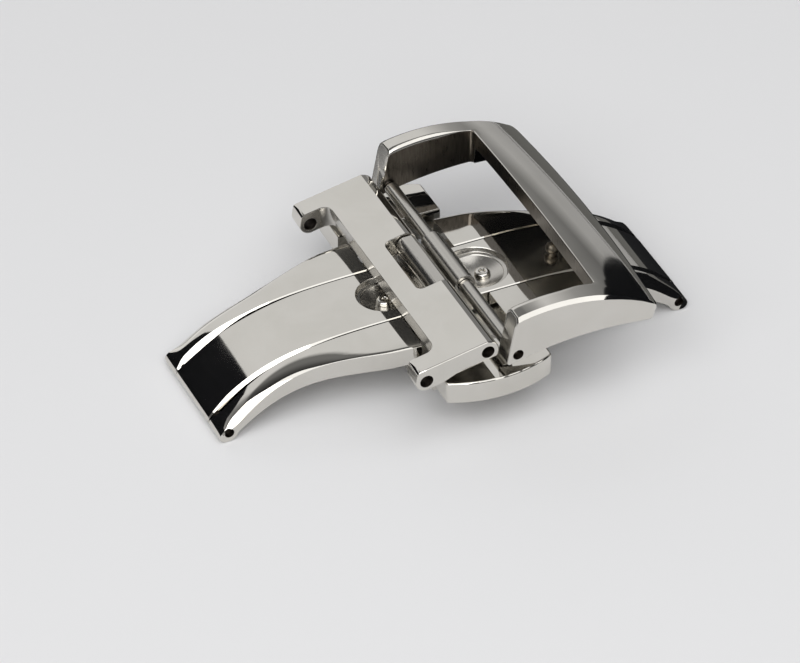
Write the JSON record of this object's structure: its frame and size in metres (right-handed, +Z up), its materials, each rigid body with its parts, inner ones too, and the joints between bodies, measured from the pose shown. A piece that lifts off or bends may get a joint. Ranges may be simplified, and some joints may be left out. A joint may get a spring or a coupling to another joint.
{
  "type": "watch strap buckle",
  "caption": "Double folding buckle for a leather watch strap, with two hinged wings on a curved base, a strap bridge, a swinging strap frame and side pushers.",
  "frame": {"origin": "on the surface that the closed buckle stands on, midway between its two hinge ends and midway across its width", "axes": "+X along the strap towards the strap frame, +Y across the strap towards the far pusher, +Z up, out of the wrist"},
  "size_m": [0.0336, 0.0216, 0.0087],
  "materials": {
    "polished_steel": "mirror polished",
    "satin_steel": "fine satin",
    "spring_steel": "drawn wire"
  },
  "bodies": {
    "base": {"base_housing": "satin_steel", "base_blade_left": "polished_steel", "base_blade_right": "polished_steel", "base_cover": "satin_steel", "cover_screws": "spring_steel", "hinge_pin_left": "satin_steel", "hinge_pin_right": "satin_steel", "pusher_spring_near": "spring_steel", "pusher_spring_far": "spring_steel"},
    "left_wing": {"left_wing": "polished_steel", "left_catch_stud": "satin_steel"},
    "right_wing": {"right_wing": "polished_steel", "right_catch_stud": "satin_steel", "strap_stud": "polished_steel"},
    "bridge": {"bridge_plate": "polished_steel", "bridge_pin": "satin_steel"},
    "buckle": {"buckle_frame": "polished_steel", "spring_bar_tube": "polished_steel", "spring_bar_tip_near": "satin_steel", "spring_bar_tip_far": "satin_steel", "spring_bar_spring": "spring_steel"},
    "near_pusher": {"pusher_near": "polished_steel", "latch_slide_near": "satin_steel"},
    "far_pusher": {"pusher_far": "polished_steel", "latch_slide_far": "satin_steel"}
  },
  "joints": [
    {"name": "left_wing_hinge", "type": "hinge", "parent": "base", "child": "left_wing", "pos_m": [-0.01607, 0, 0.00068], "axis": [0, -1, 0], "range_deg": [0, 120]},
    {"name": "right_wing_hinge", "type": "hinge", "parent": "base", "child": "right_wing", "pos_m": [0.01607, 0, 0.00068], "axis": [0, 1, 0], "range_deg": [0, 120]},
    {"name": "bridge_hinge", "type": "hinge", "parent": "left_wing", "child": "bridge", "pos_m": [-0.00033, 0, 0.00578], "axis": [0, 1, 0], "range_deg": [0, 70]},
    {"name": "buckle_hinge", "type": "hinge", "parent": "right_wing", "child": "buckle", "pos_m": [0.00142, 0, 0.00554], "axis": [0, -1, 0], "range_deg": [0, 36]},
    {"name": "near_pusher_slide", "type": "slide", "parent": "base", "child": "near_pusher", "axis": [0, 1, 0], "range_m": [0, 0.0006], "stiffness_N_per_m": 600, "deforming": ["pusher_spring_near"]},
    {"name": "far_pusher_slide", "type": "slide", "parent": "base", "child": "far_pusher", "axis": [0, -1, 0], "range_m": [0, 0.0006], "stiffness_N_per_m": 600, "deforming": ["pusher_spring_far"]}
  ]
}
